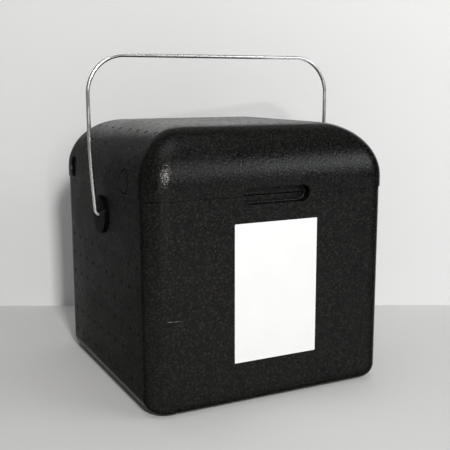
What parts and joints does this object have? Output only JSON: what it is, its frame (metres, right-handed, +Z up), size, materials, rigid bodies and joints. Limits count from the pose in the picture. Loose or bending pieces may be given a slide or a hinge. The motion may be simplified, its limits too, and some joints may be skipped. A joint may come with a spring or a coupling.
{
  "type": "insulated delivery box",
  "caption": "Black foam insulated box with a deep lift-off cap lid, a finger recess at the seam, a blank front label and an upright steel wire bail.",
  "frame": {"origin": "middle of the flat base, at the height of the surface that the box stands on", "axes": "+X to the right as seen from the front, +Y towards the back, +Z up; the label and the finger recess are on the -Y front"},
  "size_m": [0.313, 0.2962, 0.3713],
  "materials": {
    "foam": "matte expanded-bead foam with a fine pebbled skin",
    "fitting": "satin moulded black plastic",
    "wire": "bright drawn and plated steel wire",
    "spring_steel": "plain spring steel",
    "label": "blank white adhesive film, satin"
  },
  "bodies": {
    "tub": {"tub": "foam", "bush_left": "fitting", "bush_right": "fitting", "inner_cap_left": "fitting", "inner_cap_right": "fitting", "label": "label"},
    "lid": {"lid": "foam"},
    "bail": {"bail": "wire", "push_nut_left": "spring_steel", "push_nut_right": "spring_steel"}
  },
  "joints": [
    {"name": "bail_swing", "type": "hinge", "parent": "tub", "child": "bail", "pos_m": [0, 0, 0.193], "axis": [1, 0, 0], "range_deg": [-121, 121]},
    {"name": "lid_lift", "type": "slide", "parent": "tub", "child": "lid", "axis": [0, 0, 1], "range_m": [0, 0.065]}
  ]
}
